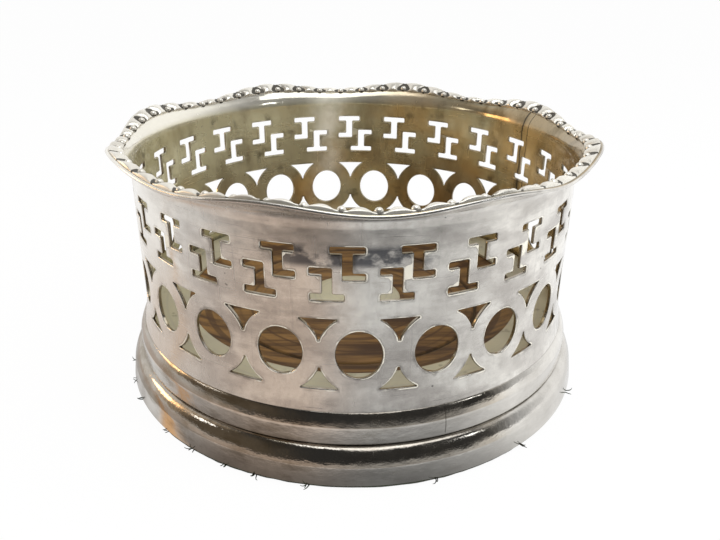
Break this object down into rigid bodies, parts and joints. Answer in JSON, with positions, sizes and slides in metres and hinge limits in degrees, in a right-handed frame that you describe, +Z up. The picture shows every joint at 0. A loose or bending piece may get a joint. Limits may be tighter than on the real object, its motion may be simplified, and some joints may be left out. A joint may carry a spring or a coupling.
{
  "type": "wine bottle coaster",
  "caption": "Round plated wine bottle coaster: pierced upright gallery with ovals and key openings, waved gadroon rim, stepped foot, turned wooden floor and baize underside.",
  "frame": {"origin": "centre of the coaster's underside, on the surface it stands on", "axes": "+Z up along the axis of the gallery, -Y towards the front of the picture, +X to its right"},
  "size_m": [0.1244, 0.1244, 0.0663],
  "materials": {
    "silver_gallery": "worn silver plate, polished outside and tarnished inside",
    "silver_border": "worn silver plate, dark in the hollows",
    "silver_foot": "worn silver plate, polished",
    "silver_floor": "dull tarnished silver plate",
    "silver_boss": "dull tarnished silver plate",
    "turned_wood": "dark polished turned hardwood",
    "brass": "dull brass",
    "baize": "green baize with loose fibres"
  },
  "bodies": {
    "root": {"baize_pad": "baize", "boss_nut": "brass", "boss_washer": "brass", "centre_boss": "silver_boss", "floor_ring": "silver_floor", "foot_moulding": "silver_foot", "gadroon_border_1": "silver_border", "gadroon_border_2": "silver_border", "gadroon_border_3": "silver_border", "gadroon_border_4": "silver_border", "pierced_gallery": "silver_gallery", "wooden_base": "turned_wood"}
  },
  "joints": []
}
